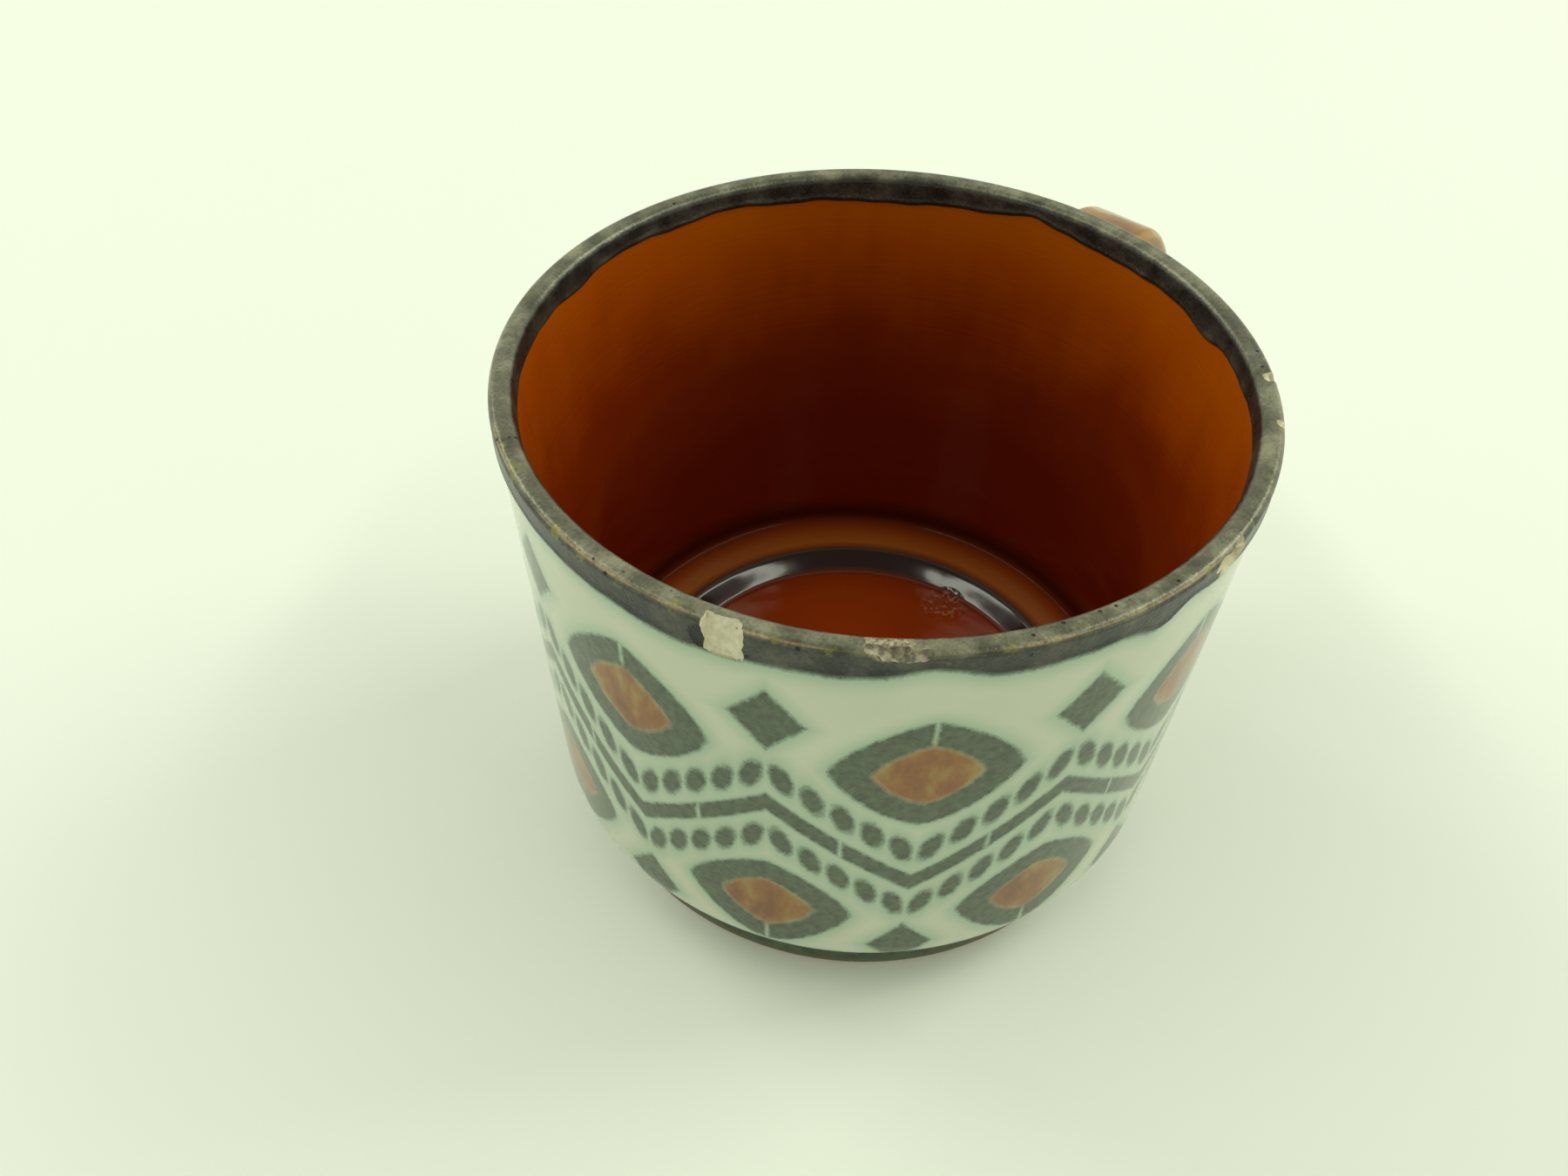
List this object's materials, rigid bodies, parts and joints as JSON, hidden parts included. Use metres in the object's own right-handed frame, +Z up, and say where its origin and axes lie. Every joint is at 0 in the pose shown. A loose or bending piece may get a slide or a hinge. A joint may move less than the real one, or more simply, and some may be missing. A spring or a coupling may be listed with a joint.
{
  "type": "coffee cup",
  "caption": "Tapered stoneware cup with a ledged well, a foot ring and a luted strap handle, glazed in brown, pale, dark and green coats.",
  "frame": {"origin": "centre of the foot ring's bare standing face", "axes": "+Z up along the cup's axis, +X towards the handle"},
  "size_m": [0.1026, 0.085, 0.065],
  "materials": {
    "biscuit": "matte",
    "slip": "matte",
    "brown_glaze": "gloss",
    "pale_glaze": "gloss",
    "dark_rim_glaze": "satin",
    "green_glaze": "gloss",
    "handle_glaze": "gloss"
  },
  "bodies": {
    "root": {"stoneware_body": "biscuit", "handle": "biscuit", "upper_slip_joint": "slip", "lower_slip_joint": "slip", "lining_glaze": "brown_glaze", "outer_glaze": "pale_glaze", "rim_glaze": "dark_rim_glaze", "foot_glaze": "green_glaze", "base_glaze": "pale_glaze", "handle_glaze": "handle_glaze"}
  },
  "joints": []
}
